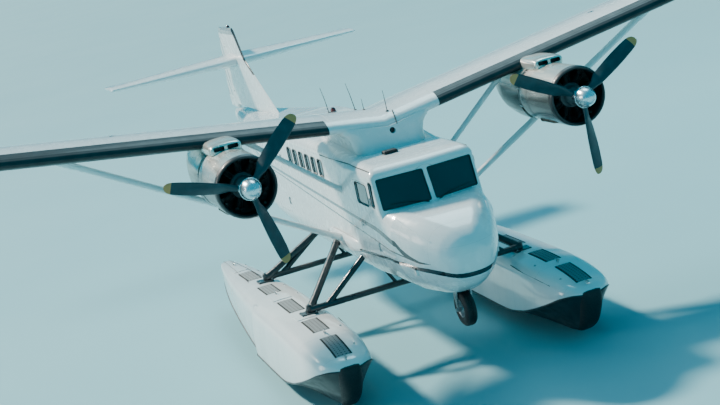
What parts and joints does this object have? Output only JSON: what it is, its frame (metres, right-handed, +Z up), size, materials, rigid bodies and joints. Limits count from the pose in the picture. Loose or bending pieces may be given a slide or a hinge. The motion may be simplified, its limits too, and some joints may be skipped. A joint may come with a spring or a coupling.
{
  "type": "twin-engined high-wing floatplane",
  "caption": "White twin-engined high-wing floatplane with strut-braced wing, polished cowls, dark float struts, a nose wheel, doors and moving control surfaces.",
  "frame": {"origin": "on the ground under the middle of the aeroplane's length and span, level with the float keels", "axes": "+X to the aeroplane's own left, +Y aft, +Z up"},
  "size_m": [19.81, 14.562, 5.5887],
  "materials": {
    "white_paint": "gloss",
    "strut_paint": "satin",
    "polished_metal": "polished",
    "bare_metal": "brushed",
    "engine_metal": "matt",
    "blade_paint": "satin",
    "tinted_glass": "polished",
    "tyre_rubber": "matt",
    "cabin_trim": "matt",
    "seat_cover": "matt"
  },
  "bodies": {
    "airframe": {"nose_cone": "white_paint", "cockpit_shell": "white_paint", "cabin_shell": "white_paint", "tail_cone": "white_paint", "windscreen": "tinted_glass", "cabin_windows_left": "tinted_glass", "cabin_windows_right": "tinted_glass", "cabin_floor": "cabin_trim", "instrument_panel": "cabin_trim", "pilot_seats": "seat_cover", "cabin_seats": "seat_cover", "wing_centre": "white_paint", "wing_left": "white_paint", "wing_right": "white_paint", "wing_strut_left": "white_paint", "wing_strut_right": "white_paint", "inner_strut_left": "white_paint", "inner_strut_right": "white_paint", "nacelle_left": "polished_metal", "nacelle_right": "polished_metal", "cowl_left": "polished_metal", "cowl_right": "polished_metal", "engine_left": "engine_metal", "engine_right": "engine_metal", "tailplane": "white_paint", "fin": "white_paint", "nose_leg": "bare_metal", "float_left": "white_paint", "float_right": "white_paint", "front_float_truss": "strut_paint", "rear_float_truss": "strut_paint"},
    "propeller_left": {"propeller_left": "blade_paint", "spinner_left": "bare_metal"},
    "propeller_right": {"propeller_right": "blade_paint", "spinner_right": "bare_metal"},
    "nose_fork": {"nose_fork": "bare_metal"},
    "nose_wheel": {"nose_wheel": "bare_metal", "nose_tyre": "tyre_rubber"},
    "flap_left": {"flap_left": "white_paint"},
    "flap_right": {"flap_right": "white_paint"},
    "aileron_left": {"aileron_left": "white_paint"},
    "aileron_right": {"aileron_right": "white_paint"},
    "rudder": {"rudder": "white_paint"},
    "water_rudder_left": {"water_rudder_left": "bare_metal"},
    "water_rudder_right": {"water_rudder_right": "bare_metal"},
    "elevators": {"elevator_left": "white_paint", "elevator_right": "white_paint", "elevator_tube": "bare_metal"},
    "cockpit_door_left": {"cockpit_door_left": "white_paint", "door_glass_left": "tinted_glass"},
    "cockpit_door_right": {"cockpit_door_right": "white_paint", "door_glass_right": "tinted_glass"},
    "cabin_door_left": {"cabin_door_left": "white_paint"},
    "cabin_door_right": {"cabin_door_right": "white_paint"}
  },
  "joints": [
    {"name": "propeller_left_spin", "type": "hinge", "parent": "airframe", "child": "propeller_left", "pos_m": [2.79, -5.979, 3.78], "axis": [0, 1, 0], "continuous": true},
    {"name": "propeller_right_spin", "type": "hinge", "parent": "airframe", "child": "propeller_right", "pos_m": [-2.79, -5.979, 3.78], "axis": [0, 1, 0], "continuous": true},
    {"name": "nose_steer", "type": "hinge", "parent": "airframe", "child": "nose_fork", "pos_m": [0, -6.429, 1.474], "axis": [0, 0, 1], "range_deg": [-60, 60]},
    {"name": "nose_wheel_spin", "type": "hinge", "parent": "nose_fork", "child": "nose_wheel", "pos_m": [0, -6.429, 1.16], "axis": [1, 0, 0], "continuous": true},
    {"name": "flap_left_hinge", "type": "hinge", "parent": "airframe", "child": "flap_left", "pos_m": [1.5, -2.9142, 4.14983], "axis": [0.9885, 0, 0.1513], "range_deg": [-37.5, 0]},
    {"name": "aileron_left_hinge", "type": "hinge", "parent": "airframe", "child": "aileron_left", "pos_m": [6.8, -2.9142, 4.96084], "axis": [0.9885, 0, 0.1513], "range_deg": [-20, 20]},
    {"name": "water_rudder_left_hinge", "type": "hinge", "parent": "airframe", "child": "water_rudder_left", "pos_m": [2.05, 1.781, 0.81], "axis": [0, 0, 1], "range_deg": [-30, 30]},
    {"name": "cockpit_door_left_hinge", "type": "hinge", "parent": "airframe", "child": "cockpit_door_left", "pos_m": [0.883, -5.526, 2.58], "axis": [0, 0, 1], "range_deg": [-80, 0]},
    {"name": "cabin_door_left_hinge", "type": "hinge", "parent": "airframe", "child": "cabin_door_left", "pos_m": [0.883, -0.176, 2.58], "axis": [0, 0, 1], "range_deg": [-80, 0]},
    {"name": "flap_right_hinge", "type": "hinge", "parent": "airframe", "child": "flap_right", "pos_m": [-1.5, -2.9142, 4.14983], "axis": [0.9885, 0, -0.1513], "range_deg": [-37.5, 0]},
    {"name": "aileron_right_hinge", "type": "hinge", "parent": "airframe", "child": "aileron_right", "pos_m": [-6.8, -2.9142, 4.96084], "axis": [0.9885, 0, -0.1513], "range_deg": [-20, 20]},
    {"name": "water_rudder_right_hinge", "type": "hinge", "parent": "airframe", "child": "water_rudder_right", "pos_m": [-2.05, 1.781, 0.81], "axis": [0, 0, 1], "range_deg": [-30, 30]},
    {"name": "cockpit_door_right_hinge", "type": "hinge", "parent": "airframe", "child": "cockpit_door_right", "pos_m": [-0.883, -5.526, 2.58], "axis": [0, 0, 1], "range_deg": [0, 80]},
    {"name": "cabin_door_right_hinge", "type": "hinge", "parent": "airframe", "child": "cabin_door_right", "pos_m": [-0.883, -0.176, 2.58], "axis": [0, 0, 1], "range_deg": [0, 80]},
    {"name": "elevator_hinge", "type": "hinge", "parent": "airframe", "child": "elevators", "pos_m": [0, 6.421, 4.45], "axis": [1, 0, 0], "range_deg": [-15, 25]},
    {"name": "rudder_hinge", "type": "hinge", "parent": "airframe", "child": "rudder", "pos_m": [0, 6.461, 4.3], "axis": [0, 0, 1], "range_deg": [-18, 18]}
  ],
  "couplings": [
    {"joint": "flap_right_hinge", "follows": "flap_left_hinge", "ratio": 1},
    {"joint": "aileron_right_hinge", "follows": "aileron_left_hinge", "ratio": -1},
    {"joint": "water_rudder_right_hinge", "follows": "water_rudder_left_hinge", "ratio": 1}
  ]
}
